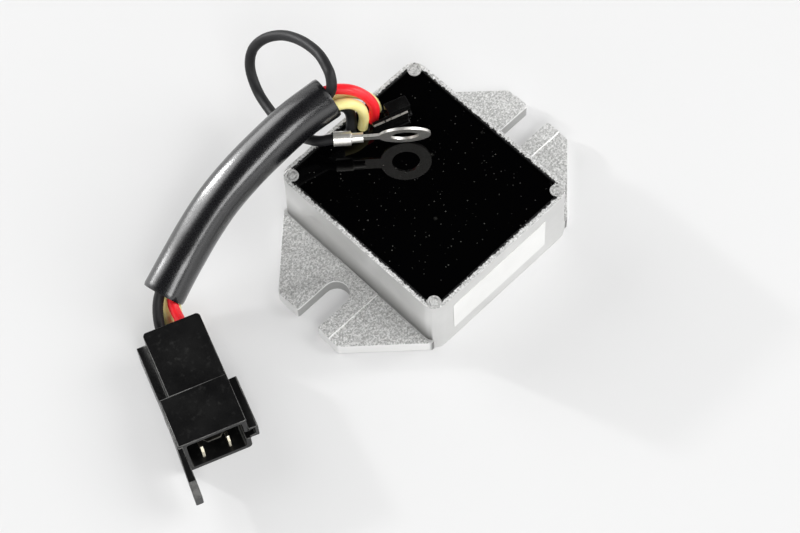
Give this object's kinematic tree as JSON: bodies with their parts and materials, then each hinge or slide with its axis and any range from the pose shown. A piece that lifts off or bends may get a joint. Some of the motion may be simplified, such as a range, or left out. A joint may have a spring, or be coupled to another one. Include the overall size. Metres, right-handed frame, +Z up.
{
  "type": "voltage regulator rectifier",
  "caption": "Cast aluminium case with slotted ears, filled with black potting, that rectifies and regulates a charging circuit through sleeved leads.",
  "frame": {"origin": "middle of the aluminium case's footprint, on the surface that it lies on", "axes": "+X from ear to ear, away from the plug; +Y towards the wall that the leads leave over, away from the label; +Z up, out of the potting"},
  "size_m": [0.1617, 0.1029, 0.0486],
  "materials": {
    "cast_aluminium": "as-cast, fine grain, tumbled edges",
    "potting_compound": "cast level, mirror-glossy",
    "label_film": "smooth white film",
    "pad_rubber": "matt grey",
    "moulded_package": "moulded, fine texture",
    "board_laminate": "lacquered laminate",
    "coated_board": "wet with dried compound, glossy",
    "small_part_body": "lacquered",
    "black_insulation": "smooth extruded insulation",
    "yellow_insulation": "smooth extruded insulation",
    "red_insulation": "smooth extruded insulation",
    "sleeve_vinyl": "soft glossy tube",
    "plated_steel": "tin-plated, slightly worn",
    "plug_plastic": "moulded, satin",
    "blade_brass": "tinned brass"
  },
  "bodies": {
    "root": {"housing": "cast_aluminium", "potting": "potting_compound", "label": "label_film", "thermal_pad": "pad_rubber", "thyristor_1": "moulded_package", "thyristor_2": "moulded_package", "diode_1": "moulded_package", "diode_2": "moulded_package", "circuit_board": "board_laminate", "side_board": "coated_board", "capacitor": "coated_board", "zener_diode": "small_part_body", "resistor": "small_part_body", "black_lead": "black_insulation", "yellow_lead_front": "yellow_insulation", "yellow_lead_rear": "yellow_insulation", "red_lead": "red_insulation", "ground_lead": "black_insulation", "sleeve": "sleeve_vinyl", "ring_terminal": "plated_steel", "plug_housing": "plug_plastic", "blade_left": "blade_brass", "blade_right": "blade_brass", "blade_top": "blade_brass"}
  },
  "joints": []
}
